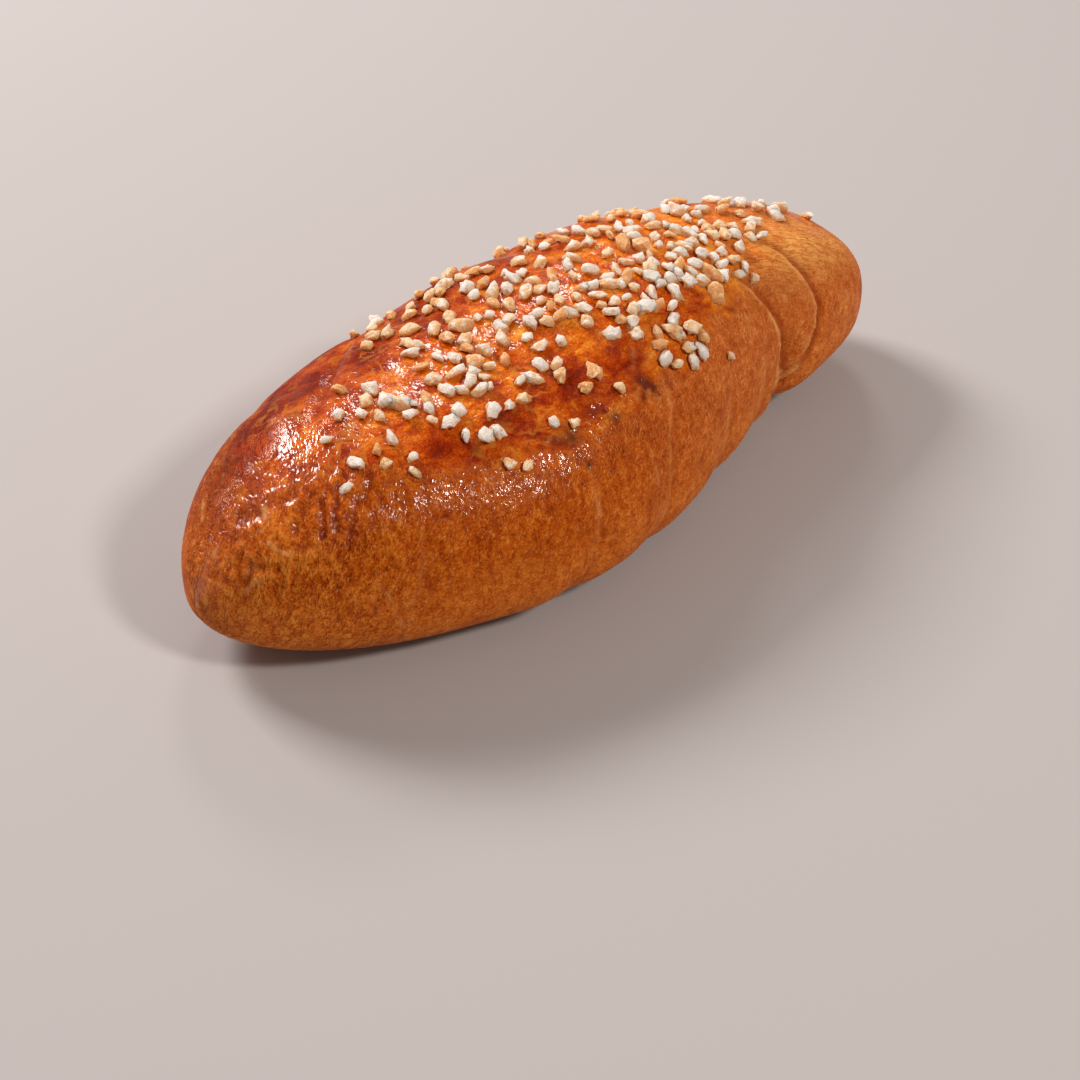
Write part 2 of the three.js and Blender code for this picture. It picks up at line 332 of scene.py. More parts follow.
# How high the crust's own unevenness stands, in millimetres
SWELL_HEIGHT = 1.0
LUMP_HEIGHT = 0.45
WRINKLE_HEIGHT = 0.12
WAVE_HEIGHT = 0.22
STRETCH_MARK_HEIGHT = 0.1
PUCKER_HEIGHT = 0.55
DRAWN_SKIN_HEIGHT = 0.07
SCORCH_DEPTH = 0.5

# Swells and hollows from uneven proofing
relief += SWELL_HEIGHT * rough(smooth, 34, 5.3)
lumps = rough(smooth, 13, 1.7, 2) * fade(point_degrees, 20, 60) * (1 - fade(point_degrees, 130, 175))
relief += LUMP_HEIGHT * lumps
# Wrinkles and waves in the glazed skin, drawn out round the girth
wrinkles = 1 - 2 * np.abs(rough(smooth, (3.2, 5.5, 5.5), 2.2, 2))
relief += WRINKLE_HEIGHT * wrinkles * gloss * fade(point_s, -0.7, -0.4)
relief += WAVE_HEIGHT * rough(smooth, (5, 8, 8), 31.4) * gloss * fade(point_s, -0.62, -0.4)
# Stretch marks round the flanks
relief += STRETCH_MARK_HEIGHT * rough(smooth, (2.0, 14, 14), 4.4, 2) * (1 - amber)
# Puckered skin at the broad end
broad_end = 1 - fade(point_s, -0.85, -0.4)
taper = np.sqrt(1 - point_s**2)
# The same angle counted from straight under the loaf, where the slanted patterns break off
sole_turn = (point_degrees + 90) % 360 - 90
slant_place = smooth[:, 0] + 0.5 * (sole_turn - 100) * taper
slant = np.stack([slant_place, smooth[:, 1], smooth[:, 2]], axis=-1)
pucker = 1 - 3 * np.abs(rough(slant, (3.4, 10, 10), 9.1, 3))
pucker += 0.7 * (1 - 3 * np.abs(rough(smooth, (3.2, 4.5, 4.5), 19.1, 2)))
pucker *= broad_end * fade(point_degrees, 92, 118) * (1 - fade(point_degrees, 140, 190))
relief += PUCKER_HEIGHT * pucker * fade(point_s, -0.99, -0.9)
drawn_skin = (1 - fade(point_s, -0.8, -0.3)) * gloss * rough(slant, (1.9, 7, 7), 27.3)
relief += DRAWN_SKIN_HEIGHT * drawn_skin
# Sharp raised lips and thin lines at the seams, and painted shade in the folds beside the seams and in the
# creases
seam_patches = rough(smooth, 8, 35.9, 2)
for seam in SEAMS:
    across, strength = seam_offset(seam, point_s, point_degrees)
    marked = seam[7]
    wavy = across + SEAM_WANDER * rough(smooth, 9, 6.6) + FINE_SEAM_WANDER * rough(smooth, 3, 8.1)
    line_width = PALE_LINE_WIDTH * (1 + 0.6 * rough(smooth, 7, 33.3))
    line = np.exp(-((wavy / line_width) ** 2)) * strength * fade(seam_patches, -0.75, -0.05)
    beyond = fade(wavy, 0, 1.2) * np.exp(-np.maximum(wavy, 0) / ROPE_STEP_REACH) * strength
    relief += (PALE_LINE_HEIGHT * line - ROPE_STEP * beyond) * marked
    pale += line * marked
    # Painted shade in the fold beside the seam's line
    fold += np.exp(-(((wavy - SEAM_SHADE_PLACE) / SEAM_SHADE_WIDTH) ** 2)) * strength * marked
for path, half_width, depth, darkness, lip in CREASES:
    gap = line_distance(path) + CREASE_WANDER * rough(smooth, 5, 7.7)
    dip = np.exp(-((gap / half_width) ** 2))
    edge = np.exp(-(((np.abs(gap) - LIP_PLACE * half_width) / (LIP_BREADTH * half_width)) ** 2))
    edge *= fade(rough(smooth, 2.6, 21.2, 2), -0.15, 0.35)
    dip *= fade(rough(smooth, 3.4, 23.8, 2), -0.5, 0.1)
    relief += LIP_HEIGHT * lip * max(depth, 0) * edge - depth * dip
    # Painted shade in the crease
    fold += darkness * dip
    pale += lip * (edge if depth > 0 else dip)
relief -= SCORCH_DEPTH * scorch
pale = np.clip(pale * (0.95 + 0.9 * rough(smooth, 4, 12.5, 2)), 0, 1)
fold = np.clip(fold, 0, 1)
# The leathery skin of the broad end lies on the crown and the near side
leathery = broad_end * fade(sole_turn, 10, 85)
# Golden wisps of stretched skin that run slantwise over the slim end
golden = np.exp(-(((point_s - 0.76) / 0.2) ** 2) - ((point_degrees - 116) / 22) ** 2)
cross_slant = 0.8 * (sole_turn - 110) * taper - 0.33 * smooth[:, 0]
# Painted bounce light: the foot of the flanks is coloured lighter, most at the broad tip
low_down = (1 - fade(smooth[:, 2], 4, 46)) * (1 - 0.25 * fade(point_s, -0.95, -0.75))
# Painted pale reflection: the crust is coloured lighter towards the slim end
light_bake = fade(point_s + 0.1 * rough(smooth, 25, 16.5), -0.25, 0.45)

# The sole: flat where it lay on the tray, with small tray dimples in mm, and a soft brown edge round it
SOLE_DIMPLE = 0.25
on_tray = smooth[:, 2] < 0.01
sole = 1 - fade(smooth[:, 2], 1.5, 7)
# No relief at the very tips, where all the columns meet
TIP_FADE_POWER = 24
relief *= np.clip(1 - np.abs(point_s) ** TIP_FADE_POWER, 0, 1)
final = smooth + relief[:, None] * normals
dimples = SOLE_DIMPLE * np.clip(rough(smooth, 4, 15.5, 2), 0, 1)
final[:, 2] = np.where(on_tray, dimples, np.maximum(final[:, 2], 0))

node_low, node_high = (np.array(corner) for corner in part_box("loaf"))
low, high = smooth.min(axis=0), smooth.max(axis=0)


def in_frame(points):
    """Points in millimetres fitted to the frame's box of the loaf, in metres."""
    return node_low + (points - low) * (node_high - node_low) / (high - low)


final = in_frame(final)

rows = LOAF_RINGS - 1
index = np.arange(rows * LOAF_COLUMNS).reshape(rows, LOAF_COLUMNS)
index_next = np.roll(index, -1, axis=1)
quads = np.stack([index[:-1], index_next[:-1], index_next[1:], index[1:]], axis=-1).reshape(-1, 4)
left_tip, right_tip = rows * LOAF_COLUMNS, rows * LOAF_COLUMNS + 1
caps = [(left_tip, int(b), int(a)) for a, b in zip(index[0], index_next[0])]
caps += [(right_tip, int(a), int(b)) for a, b in zip(index[-1], index_next[-1])]

loaf_mesh = bpy.data.meshes.new("baked_loaf")
loaf_mesh.from_pydata(final.tolist(), [], quads.tolist() + caps)
loaf_mesh.polygons.foreach_set("use_smooth", [True] * len(loaf_mesh.polygons))
crust_marks = {
    "amber": amber, "gloss": gloss, "coat": coat, "pool": pool, "scorch": scorch, "pale": pale, "fold": fold,
    "golden": golden, "light_bake": light_bake, "low_down": low_down, "sole": sole, "pucker": pucker,
    "broad_end": broad_end, "leathery": leathery, "slant": slant[:, 0] * MM, "cross_slant": cross_slant * MM,
}
for name, values in crust_marks.items():
    loaf_mesh.attributes.new(name, "FLOAT", "POINT").data.foreach_set("value", values.astype(np.float32))
loaf = bpy.data.objects.new("baked_loaf", loaf_mesh)
bpy.context.scene.collection.objects.link(loaf)


def add(tree, kind, inputs=None, **settings):
    """A new node with its settings, and its inputs either linked or set."""
    node = tree.nodes.new(kind)
    for key, value in settings.items():
        setattr(node, key, value)
    for key, value in (inputs or {}).items():
        if isinstance(value, bpy.types.NodeSocket):
            tree.links.new(value, node.inputs[key])
        else:
            node.inputs[key].default_value = value
    return node


def blend(tree, share, first, second, mode="MIX"):
    """One colour mixed over another."""
    node = add(tree, "ShaderNodeMix", data_type="RGBA", blend_type=mode, clamp_factor=True)
    for key, value in ((0, share), (6, first), (7, second)):
        if isinstance(value, bpy.types.NodeSocket):
            tree.links.new(value, node.inputs[key])
        else:
            node.inputs[key].default_value = value if key == 0 else (*value, 1)
    return node.outputs[2]


def sums(tree, operation, first, second=0.0, third=0.0):
    """One number worked out from others."""
    return add(tree, "ShaderNodeMath", {0: first, 1: second, 2: third}, operation=operation).outputs[0]


def weighted(tree, parts, start=0.0):
    """A start value plus each (number, weight) part in turn."""
    total = start
    for part, weight in parts:
        total = sums(tree, "MULTIPLY_ADD", part, weight, total)
    return total


def product(tree, first, second):
    """Two numbers multiplied."""
    return sums(tree, "MULTIPLY", first, second)


def centred(tree, value):
    """A number from 0 to 1 moved to lie either side of 0."""
    return sums(tree, "SUBTRACT", value, 0.5)


def grain(tree, place, size, detail=3.0, roughness=0.55, stretch=(1, 1, 1), distortion=0.0):
    """Noise from 0 to 1 with lumps of this size in millimetres, drawn out by stretch."""
    scale = tuple(1 / (size * MM * longer) for longer in stretch)
    at = add(tree, "ShaderNodeMapping", {"Vector": place, "Scale": scale}).outputs[0]
    inputs = {"Vector": at, "Scale": 1.0, "Detail": detail, "Roughness": roughness, "Distortion": distortion}
    return add(tree, "ShaderNodeTexNoise", inputs).outputs[0]


def ramp(tree, value, stops):
    """A colour picked from (position, colour) stops."""
    node = add(tree, "ShaderNodeValToRGB", {0: value})
    elements = node.color_ramp.elements
    while len(elements) < len(stops):
        elements.new(0.5)
    for element, (position, colour) in zip(elements, stops):
        element.position = position
        element.color = (*colour, 1)
    return node.outputs[0]


def clamp_range(tree, value, low, high, to_low=0.0, to_high=1.0):
    """A number mapped from one range to another and kept inside it."""
    inputs = {0: value, 1: low, 2: high, 3: to_low, 4: to_high}
    return add(tree, "ShaderNodeMapRange", inputs, interpolation_type="SMOOTHSTEP").outputs[0]


def new_material(name):
    """An empty node material with its shader and output joined."""
    material = bpy.data.materials.new(name)
    material.use_nodes = True
    tree = material.node_tree
    tree.nodes.clear()
    shader = tree.nodes.new("ShaderNodeBsdfPrincipled")
    output = tree.nodes.new("ShaderNodeOutputMaterial")
    tree.links.new(shader.outputs[0], output.inputs[0])
    return material, tree, shader


# Colours of the bake from its dark spots to its light ones, as (tone, colour) stops
DARK_BAKE = [(0.41, (0.22, 0.022, 0.0004)), (0.47, (0.37, 0.055, 0.0007)), (0.52, (0.49, 0.093, 0.0015)),
             (0.6, (0.68, 0.2, 0.02))]
# The same crust with painted pale reflection, taken towards the slim end
REFLECTION_LIT_BAKE = [(0.41, (0.33, 0.055, 0.005)), (0.47, (0.48, 0.1, 0.013)), (0.52, (0.58, 0.145, 0.026)),
              (0.6, (0.76, 0.28, 0.08))]
# The crust at the foot of the flanks with painted bounce light
FOOT_BOUNCE_LIGHT = [(0.44, (0.56, 0.115, 0.01)), (0.52, (0.82, 0.215, 0.027)), (0.6, (0.98, 0.36, 0.07))]
EGG_WASH = [(0.28, (0.11, 0.005, 0.0003)), (0.4, (0.26, 0.018, 0.0006)), (0.51, (0.47, 0.062, 0.001)),
            (0.6, (0.64, 0.15, 0.006)), (0.7, (0.84, 0.34, 0.045))]
SOLE_BAKE = [(0.36, (0.17, 0.04, 0.01)), (0.5, (0.36, 0.1, 0.02)), (0.64, (0.52, 0.2, 0.05))]
THIN_SKIN = (0.84, 0.42, 0.14)
THIN_WASH = (0.78, 0.28, 0.03)
DEEP_POOL = (0.15, 0.012, 0.001)
GOLDEN_SKIN = (0.84, 0.4, 0.1)
# Painted shade in the folds and creases
FOLD_SHADE = (0.26, 0.03, 0.002)
STRETCHED_DOUGH = (0.86, 0.42, 0.14)
SCORCHED = (0.045, 0.008, 0.004)
# What the tones of the dry crust and of the egg wash start from, before the noises are added
DRY_TONE_BASE = 0.085
WASH_TONE_BASE = 0.08

crust_material, tree, shader = new_material("egg_washed_crust")
place = add(tree, "ShaderNodeTexCoord").outputs["Object"]
marks = {name: add(tree, "ShaderNodeAttribute", attribute_name=name).outputs["Fac"] for name in crust_marks}
apart = add(tree, "ShaderNodeSeparateXYZ", {0: place}).outputs
slanted = add(tree, "ShaderNodeCombineXYZ", {0: marks["slant"], 1: apart[1], 2: apart[2]}).outputs[0]
crossed = add(tree, "ShaderNodeCombineXYZ", {0: marks["cross_slant"], 1: apart[0], 2: apart[2]}).outputs[0]
unglazed = sums(tree, "SUBTRACT", 1.0, marks["gloss"])
dry_leather = product(tree, marks["leathery"], unglazed)

fine = grain(tree, place, 0.65, 3, 0.65)
mottle = grain(tree, place, 2.4, 4, 0.6, distortion=0.4)
blotch = grain(tree, place, 10, 3)
streaks = grain(tree, place, 1.1, 3, 0.6, stretch=(1, 7, 7))
veins = grain(tree, place, 4.2, 5, 0.68, stretch=(1.5, 1, 1), distortion=0.5)

# Dry, unglazed crust: leathery flecks from red-brown to tan
leather = grain(tree, slanted, 3.2, 3, 0.6, stretch=(1, 2, 2), distortion=0.8)
leather = clamp_range(tree, sums(tree, "ABSOLUTE", centred(tree, leather)), 0, 0.17, 1, 0)
leather = product(tree, leather, dry_leather)
flecks = centred(tree, grain(tree, slanted, 1.1, 3, 0.6, stretch=(1, 1.4, 1.4), distortion=1.4))
fleck_share = clamp_range(tree, marks["leathery"], 0, 1, 0.06, 0.22)
# The tone takes a little painted bounce light at the foot of the flanks
tone = weighted(tree, [
    (mottle, 0.24), (fine, 0.3), (streaks, 0.14), (blotch, 0.13), (marks["pucker"], 0.055),
    (marks["low_down"], 0.03), (marks["broad_end"], -0.03), (leather, 0.05), (flecks, fleck_share),
], DRY_TONE_BASE)
# Towards the slim end the dry crust takes the colours with painted pale reflection
dry_colour = blend(tree, marks["light_bake"], ramp(tree, tone, DARK_BAKE), ramp(tree, tone, REFLECTION_LIT_BAKE))
scratches = grain(tree, slanted, 0.55, 2, 0.6, stretch=(1, 2.4, 2.4), distortion=0.6)
scratches = clamp_range(tree, scratches, 0.58, 0.7, 0.0, 0.45)
dry_colour = blend(tree, scratches, dry_colour, THIN_SKIN)

# Egg wash: clear amber with dark red pools and golden webs where it ran thin
specks = centred(tree, grain(tree, place, 0.6, 2, 0.7))
speck_share = clamp_range(tree, marks["broad_end"], 0, 1, 0.36, 0.42)
drawn = grain(tree, slanted, 0.7, 3, 0.6, stretch=(1, 9, 9))
drawn_share = product(tree, marks["broad_end"], 0.3)
# The wash tone is lifted towards the slim end by painted pale reflection
wash_tone = weighted(tree, [
    (blotch, 0.35), (veins, 0.55), (specks, speck_share), (centred(tree, drawn), drawn_share),
    (marks["broad_end"], -0.035), (marks["pool"], -0.16), (marks["light_bake"], 0.05),
], WASH_TONE_BASE)
wash_colour = ramp(tree, wash_tone, EGG_WASH)
web = sums(tree, "ABSOLUTE", centred(tree, grain(tree, place, 6.5, 2, 0.5, distortion=0.8)))
web = clamp_range(tree, web, 0.0, 0.09, 1.0, 0.0)
web_patches = clamp_range(tree, grain(tree, place, 16, 2), 0.48, 0.62, 0.0, 0.4)
wash_colour = blend(tree, product(tree, web, web_patches), wash_colour, THIN_WASH)
wash_share = weighted(tree, [(centred(tree, mottle), 0.7)], marks["amber"])
wash_share = clamp_range(tree, wash_share, 0.25, 0.75)

# The wash over the dry crust, then each mark over both. Among the marks are painted bounce light at the foot
# of the flanks and painted shade in the folds.
wisps = grain(tree, crossed, 0.9, 3, 0.65, stretch=(1, 4, 4), distortion=0.8)
wisps = clamp_range(tree, wisps, 0.42, 0.6, 0.2, 1.0)
sole_tone = weighted(tree, [(blotch, 0.5), (mottle, 0.5)])
colour = blend(tree, wash_share, dry_colour, wash_colour)
for share, over in ((product(tree, marks["pool"], 0.3), DEEP_POOL),
                    (product(tree, marks["golden"], wisps), GOLDEN_SKIN),
                    (product(tree, marks["low_down"], 0.85), ramp(tree, tone, FOOT_BOUNCE_LIGHT)),
                    (product(tree, marks["fold"], 0.7), FOLD_SHADE),
                    (product(tree, marks["pale"], 0.8), STRETCHED_DOUGH),
                    (marks["sole"], ramp(tree, sole_tone, SOLE_BAKE)),
                    (marks["scorch"], SCORCHED)):
    colour = blend(tree, share, colour, over)

# Fine relief of the skin, heights in millimetres
crinkle = grain(tree, place, 1.6, 1, 0.4, stretch=(1, 1.8, 1.8), distortion=0.9)
crinkle_height = clamp_range(tree, marks["broad_end"], 0, 1, 0.36, 0.05)
fine_crinkle = grain(tree, slanted, 0.8, 0, 0.5, stretch=(1, 1.8, 1.8), distortion=0.5)
fine_crinkle_height = clamp_range(tree, marks["broad_end"], 0, 1, 0.09, 0.2)
drawn_height = product(tree, marks["broad_end"], 0.08)
wash_relief = weighted(tree, [
    (fine_crinkle, fine_crinkle_height), (crinkle, crinkle_height), (drawn, drawn_height)])
dry_relief = weighted(tree, [(fine, 0.2), (streaks, 0.12), (mottle, 0.5)])
skin_relief = weighted(tree, [
    (wash_relief, marks["gloss"]), (dry_relief, unglazed), (leather, 0.35),
    (flecks, product(tree, dry_leather, 0.4))])
bump = add(tree, "ShaderNodeBump", {"Strength": 1.0, "Distance": MM, "Height": skin_relief}).outputs[0]

# The wash shines in patches, all over the broad end and not in the folds
DRY_ROUGHNESS = 0.5
GLAZED_ROUGHNESS = 0.35
ROUGHNESS_SPREAD = 0.2
shine = clamp_range(tree, grain(tree, place, 6, 2), 0.4, 0.58, 0.12, 1.0)
shine = sums(tree, "MAXIMUM", shine, marks["broad_end"])
shine = product(tree, marks["coat"], shine)
shine = product(tree, shine, sums(tree, "SUBTRACT", 1.0, marks["fold"]))
roughness = clamp_range(tree, marks["gloss"], 0, 1, DRY_ROUGHNESS, GLAZED_ROUGHNESS)
roughness = weighted(tree, [(centred(tree, mottle), ROUGHNESS_SPREAD)], roughness)
tree.links.new(colour, shader.inputs["Base Color"])
tree.links.new(roughness, shader.inputs["Roughness"])
tree.links.new(bump, shader.inputs["Normal"])
tree.links.new(shine, shader.inputs["Coat Weight"])
tree.links.new(bump, shader.inputs["Coat Normal"])
shader.inputs["IOR"].default_value = 1.5
shader.inputs["Specular IOR Level"].default_value = 0.06
shader.inputs["Coat Roughness"].default_value = 0.07
shader.inputs["Coat IOR"].default_value = 1.55

loaf_mesh.materials.append(crust_material)
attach(loaf, "root")
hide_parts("loaf")

# ------------------------------------------------------------------------------------------------
# The pearl sugar
# Crushed lumps of pressed sugar, scattered over the wet egg wash before baking. The wash glues each
# nib down, and some of them took up glaze and toasted to tan in the oven.
# ------------------------------------------------------------------------------------------------

NIB_SEED = 24
TRIES_PER_NIB = 60
# A nib's length and the least gap between middles in mm, then two shares of the length: how much it varies
# and how high a nib's middle stands over the crust
NIB_LENGTH = 4.4
NIB_SPACING = 3.3
NIB_LENGTH_SPREAD = 0.26
NIB_RAISED = 0.19
# A nib's lean in radians, its least and greatest stretch, how far it is squared off towards a block, its
# broken faces and how far they lie from its middle, and its knobbly skin: lumps, lowest height and spread
NIB_LEAN = 0.35
LEAST_STRETCH = (0.95, 0.62, 0.55)
GREATEST_STRETCH = (1.4, 0.95, 0.85)
BLOCK_RADIUS = 0.86
BOXINESS = 0.6
BROKEN_FACES = 5
NEAREST_FACE = 0.45
FACE_SPREAD = 0.35
KNOB_SCALE = 3.8
KNOB_BASE = 0.42
UNEVENNESS = 1.3
# How far apart the nibs draw their random skins and faces
SHIFT_RANGE = 50
# The part of a nib next to the crust that glaze stained and that carries painted warm bounce light, from all
# to none, in nib lengths from its middle
STAIN_AND_GLOW_FROM = -0.15
STAIN_AND_GLOW_TO = 0.22

# The share of the added nibs that toasted on the crown, and how much larger it is on the far and near flanks
TOASTED_CROWN = 0.18
TOASTED_FAR = 0.55
TOASTED_NEAR = 0.3

# Each sugar's own colour, the colour of its toasted patches and how much of it they take up
WHITE_SUGAR = ((0.79, 0.735, 0.685), (0.76, 0.45, 0.22), 0.28)
TOASTED_SUGAR = ((0.82, 0.61, 0.41), (0.72, 0.35, 0.13), 0.38)
# Glaze stain at each nib's foot, deepened to also stand in for painted warm bounce light on the shaded lower
# sides
GLAZE_STAIN_AND_GLOW = (0.62, 0.25, 0.07)
CRYSTAL_SHADES = [(0.3, (0.86, 0.82, 0.77)), (0.6, (1.0, 1.0, 1.0))]

# Heaps of sugar round the frame's own nibs: place, degrees, how many more nibs, how far they spread in mm
HEAPS = [
    (-0.62, 90, 1, 3), (-0.58, 114, 2, 5), (-0.51, 94, 4, 5.5), (-0.43, 99, 3, 5), (-0.42, 113, 1, 3),
    (-0.37, 120, 2, 4), (-0.37, 131, 1, 1), (-0.34, 102, 4, 6), (-0.31, 92, 4, 6), (-0.29, 108, 2, 4),
    (-0.33, 78, 2, 4), (-0.25, 86, 4, 6), (-0.23, 97, 4, 6), (-0.24, 67, 3, 6), (-0.36, 58, 3, 5),
    (-0.19, 58, 4, 7), (-0.2, 126, 1, 3), (-0.18, 106, 4, 6), (-0.14, 77, 5, 7), (-0.13, 89, 4, 6),
    (-0.07, 106, 2, 5), (-0.07, 89, 5, 7), (-0.1, 122, 1, 3), (-0.07, 64, 4, 7), (-0.01, 81, 5, 7),
    (0.03, 70, 3, 6), (0, 96, 5, 7), (0.06, 88, 5, 7), (0.06, 99, 2, 4), (0.13, 95, 6, 8),
    (0.13, 104, 5, 6), (0.12, 119, 2, 4), (0.19, 125, 3, 5), (0.15, 131, 1, 3), (0.22, 134, 4, 5),
    (0.18, 111, 1, 3), (0.19, 73, 3, 6), (0.17, 63, 3, 6), (0.24, 112, 4, 5), (0.24, 103, 4, 6),
    (0.3, 100, 5, 7), (0.25, 89, 2, 5), (0.3, 79, 4, 6), (0.35, 70, 5, 8), (0.35, 95, 6, 8),
    (0.37, 110, 5, 6), (0.38, 118, 1, 3), (0.43, 99, 5, 7), (0.42, 83, 3, 6), (0.49, 98, 4, 6),
    (0.48, 110, 5, 6), (0.51, 81, 4, 7), (0.56, 97, 4, 6), (0.58, 79, 2, 4), (0.63, 99, 3, 5),
    (0.67, 83, 3, 5), (0.78, 88, 4, 6), (0.88, 90, 1, 2), (-0.28, 46, 3, 7), (-0.05, 48, 6, 10),
    (0.2, 50, 6, 10), (0.4, 62, 5, 9), (0.56, 68, 3, 8), (0.7, 76, 2, 6),
]

loaf_surface = BVHTree.FromPolygons(final.tolist(), quads.tolist() + caps)
scatter = np.random.RandomState(NIB_SEED)


def seat_near(point):
    """The crust point and outward direction nearest to a place."""
    found, direction, *_ = loaf_surface.find_nearest(Vector(point))
    return found, direction


slot_of = {row["node"]: row["material_slot"] for row in frame["record"]["subparts"]}
nib_nodes = sorted(name for name in frame["nodes"] if name.startswith("sugar_nib"))
seats = []
for name in nib_nodes:
    node_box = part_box(name)
    seats.append((*seat_near((node_box[0] + node_box[1]) / 2), slot_of[name] == "toasted_sugar"))
for s, degrees, count, spread in HEAPS:
    far, near = 1 - fade(degrees, 58, 78), fade(degrees, 112, 125)
    toasted_share = TOASTED_CROWN + TOASTED_FAR * far + TOASTED_NEAR * near
    added = 0
    for attempt in range(TRIES_PER_NIB * count):
        spot, direction = seat_near(in_frame(crust(s, degrees)) + scatter.uniform(-spread, spread, 3) * MM)
        if added < count and all((spot - seat[0]).length > NIB_SPACING * MM for seat in seats):
            seats.append((spot, direction, scatter.uniform() < toasted_share))
            added += 1


def sugar_tree():
    """Geometry nodes that set one broken crystal lump on every seat point."""
    group = bpy.data.node_groups.new("sugar_nibs", "GeometryNodeTree")
    group.interface.new_socket("Seats", in_out="INPUT", socket_type="NodeSocketGeometry")
    for label in ("Nib Length", "Length Spread", "Boxiness", "Unevenness"):
        group.interface.new_socket(label, in_out="INPUT", socket_type="NodeSocketFloat")
    group.interface.new_socket("Seed", in_out="INPUT", socket_type="NodeSocketInt")
    group.interface.new_socket("Sugar", in_out="INPUT", socket_type="NodeSocketMaterial")
    group.interface.new_socket("Nibs", in_out="OUTPUT", socket_type="NodeSocketGeometry")
    source = group.nodes.new("NodeGroupInput").outputs

    def number(operation, first, second=0.0, third=0.0):
        return sums(group, operation, first, second, third)

    def vector(operation, first, second=None, scale=None):
        inputs = {0: first}
        if second is not None:
            inputs[1] = second
        if scale is not None:
            inputs["Scale"] = scale
        node = add(group, "ShaderNodeVectorMath", inputs, operation=operation)
        return node.outputs["Value" if operation == "DOT_PRODUCT" else "Vector"]

    def random_vector(lowest, highest, step):
        node = add(group, "FunctionNodeRandomValue", data_type="FLOAT_VECTOR")
        node.inputs[0].default_value = lowest
        node.inputs[1].default_value = highest
        group.links.new(number("ADD", source["Seed"], float(step)), node.inputs["Seed"])
        return node.outputs[0]

    def keep(geometry, name, value, domain):
        inputs = {"Geometry": geometry, "Name": name}
        node = add(group, "GeometryNodeStoreNamedAttribute", inputs, data_type="FLOAT_VECTOR", domain=domain)
        group.links.new(value, node.inputs["Value"])
        return node.outputs[0]

    def kept(name):
        inputs = {"Name": name}
        return add(group, "GeometryNodeInputNamedAttribute", inputs, data_type="FLOAT_VECTOR").outputs[0]

    # A ball on every seat, turned at random about its own upright and tipped a little
    ball = add(group, "GeometryNodeMeshIcoSphere", {"Radius": 0.5, "Subdivisions": 2}).outputs[0]
    position = add(group, "GeometryNodeInputPosition").outputs[0]
    ball = keep(ball, "lump_place", position, "POINT")
    upright = add(group, "FunctionNodeAlignRotationToVector", {"Vector": kept("facing")}, axis="Z").outputs[0]
    spin = random_vector((-NIB_LEAN, -NIB_LEAN, 0.0), (NIB_LEAN, NIB_LEAN, 2 * math.pi), 1)
    inputs = {0: upright, 1: spin}
    turned = add(group, "FunctionNodeRotateRotation", inputs, rotation_space="LOCAL").outputs[0]
    stretch = random_vector(LEAST_STRETCH, GREATEST_STRETCH, 2)
    chance = add(group, "ShaderNodeSeparateXYZ", {0: random_vector((-1, -1, -1), (1, 1, 1), 3)}).outputs[0]
    growth = number("MULTIPLY_ADD", chance, source["Length Spread"], 1.0)
    scale = vector("SCALE", stretch, scale=number("MULTIPLY", growth, source["Nib Length"]))
    points = keep(source["Seats"], "seat", position, "POINT")
    inputs = {"Points": points, "Instance": ball, "Rotation": turned, "Scale": scale}
    placed = add(group, "GeometryNodeInstanceOnPoints", inputs).outputs[0]
    placed = keep(placed, "lump_shift", random_vector((0, 0, 0), (SHIFT_RANGE,) * 3, 4), "INSTANCE")
    real = add(group, "GeometryNodeRealizeInstances", {"Geometry": placed}).outputs[0]

    # Squared off towards a block, then broken along a few flat faces of its own
    unit = vector("NORMALIZE", kept("lump_place"))
    size = add(group, "ShaderNodeSeparateXYZ", {0: vector("ABSOLUTE", unit)}).outputs
    reach = number("MAXIMUM", number("MAXIMUM", size[0], size[1]), size[2])
    radius = number("DIVIDE", BLOCK_RADIUS, number("POWER", reach, source["Boxiness"]))
    for step in range(BROKEN_FACES):
        shifted = vector("ADD", kept("lump_shift"), (7.3 * step, 3.1 * step, 5.7 * step))
        dice = add(group, "ShaderNodeTexWhiteNoise", {"Vector": shifted}, noise_dimensions="3D").outputs
        face = vector("NORMALIZE", vector("SUBTRACT", dice["Color"], (0.5, 0.5, 0.5)))
        facing_it = number("MAXIMUM", vector("DOT_PRODUCT", unit, face), 0.05)
        depth = number("MULTIPLY_ADD", dice["Value"], FACE_SPREAD, NEAREST_FACE)
        radius = number("MINIMUM", radius, number("DIVIDE", depth, facing_it))
    sample = vector("ADD", kept("lump_place"), kept("lump_shift"))
    inputs = {"Vector": sample, "Scale": KNOB_SCALE, "Detail": 1.0}
    knobs = add(group, "ShaderNodeTexNoise", inputs).outputs[0]
    radius = number("MULTIPLY", radius, number("MULTIPLY_ADD", knobs, source["Unevenness"], KNOB_BASE))
    out_from_seat = vector("SUBTRACT", position, kept("seat"))
    place = vector("ADD", kept("seat"), vector("SCALE", out_from_seat, scale=radius))
    broken = add(group, "GeometryNodeSetPosition", {"Geometry": real, "Position": place}).outputs[0]
    flat = add(group, "GeometryNodeSetShadeSmooth", {"Geometry": broken, "Shade Smooth": False}).outputs[0]
    coated = add(group, "GeometryNodeSetMaterial", {"Geometry": flat, "Material": source["Sugar"]}).outputs[0]
    group.links.new(coated, group.nodes.new("NodeGroupOutput").inputs[0])
    return group


